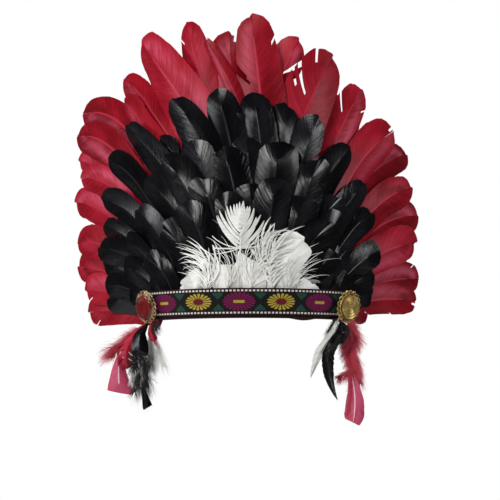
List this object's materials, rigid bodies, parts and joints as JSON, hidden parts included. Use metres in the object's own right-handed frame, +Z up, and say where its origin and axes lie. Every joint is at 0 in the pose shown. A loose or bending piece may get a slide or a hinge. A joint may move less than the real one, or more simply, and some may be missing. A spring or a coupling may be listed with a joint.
{
  "type": "feathered headdress",
  "caption": "Brow band with a tall fan of red, black and white feathers, a woven flower ribbon, two metal medallions and feather drops.",
  "frame": {"origin": "middle of the head opening, level with the lower edge of the headband", "axes": "+Z up through the crown of the head, the ribbon and the medallions face -Y, +X is a viewer's right"},
  "size_m": [0.3127, 0.2298, 0.3214],
  "materials": {
    "cotton": "dark brown cotton tape",
    "ribbon": "woven jacquard ribbon with flowers",
    "elastic": "black woven elastic",
    "red_feather": "dyed satin feather",
    "black_feather": "glossy black feather",
    "white_feather": "soft white feather",
    "antique_gold": "antique gold, cast",
    "brass": "satin brass, cast",
    "red_enamel": "glossy dark red enamel"
  },
  "bodies": {
    "root": {"headband": "cotton", "quill_binding": "cotton", "braid_ribbon": "ribbon", "back_strap": "elastic", "red_feather_row": "red_feather", "black_feather_row_back": "black_feather", "black_feather_row_middle": "black_feather", "black_feather_row_front": "black_feather", "white_feather_row": "white_feather", "left_medallion_setting": "antique_gold", "left_medallion_stone": "red_enamel", "right_medallion_setting": "brass", "right_medallion_boss": "brass", "left_drop_red_plume": "red_feather", "left_drop_black_plume": "black_feather", "left_drop_white_plume": "white_feather", "right_drop_white_plume": "white_feather", "right_drop_black_plume": "black_feather", "right_drop_red_plume": "red_feather"}
  },
  "joints": []
}
